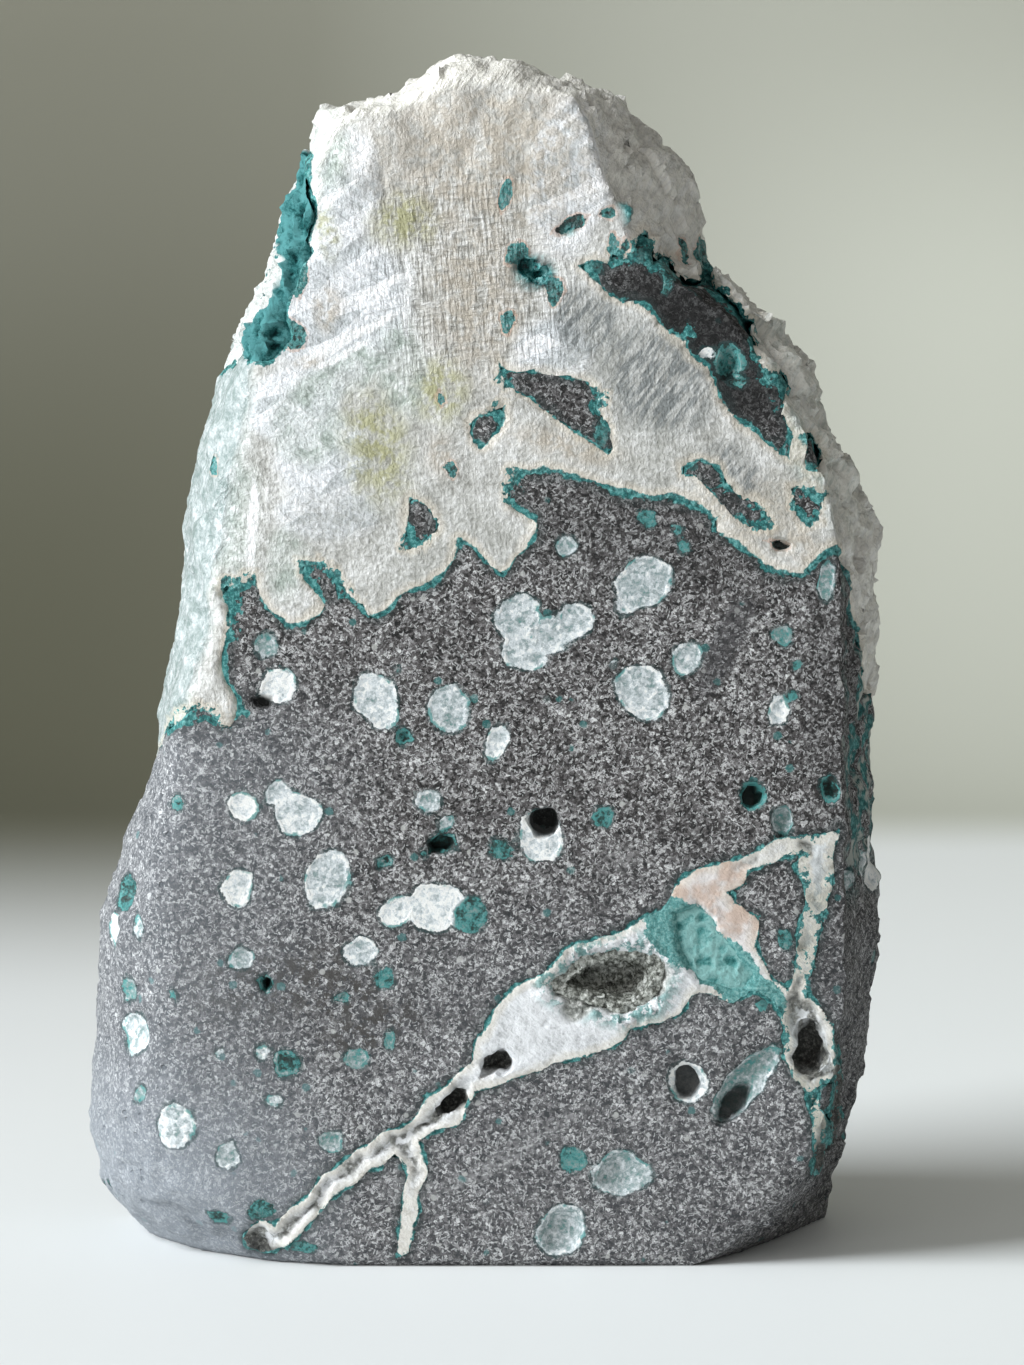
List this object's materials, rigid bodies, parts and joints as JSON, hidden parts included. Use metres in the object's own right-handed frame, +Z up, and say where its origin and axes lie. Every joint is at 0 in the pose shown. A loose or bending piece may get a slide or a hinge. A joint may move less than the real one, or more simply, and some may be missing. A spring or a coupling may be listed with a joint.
{
  "type": "rough apophyllite specimen",
  "caption": "Upright rough apophyllite on vesicular basalt, sawn flat in front, with a white crown, a diagonal zeolite vein and blue-green celadonite.",
  "frame": {"origin": "centre of the bounding box at the level of the flat ground base", "axes": "+Z up, the longest extent; -Y out of the sawn face, so Y is the depth and the shortest extent; +X to the right as the sawn face is looked at"},
  "size_m": [0.0804, 0.0478, 0.1192],
  "materials": {
    "basalt": "matt, fine speckled grain",
    "apophyllite": "sawn and satin, glassy where broken",
    "zeolite": "satin, fibrous",
    "druse": "glassy, translucent small crystals",
    "celadonite": "earthy, matt"
  },
  "bodies": {
    "root": {"basalt_matrix": "basalt", "apophyllite_crown": "apophyllite", "zeolite_vein": "zeolite", "vug_druse": "druse", "celadonite_pocket": "celadonite", "celadonite_shoulder": "celadonite"}
  },
  "joints": []
}
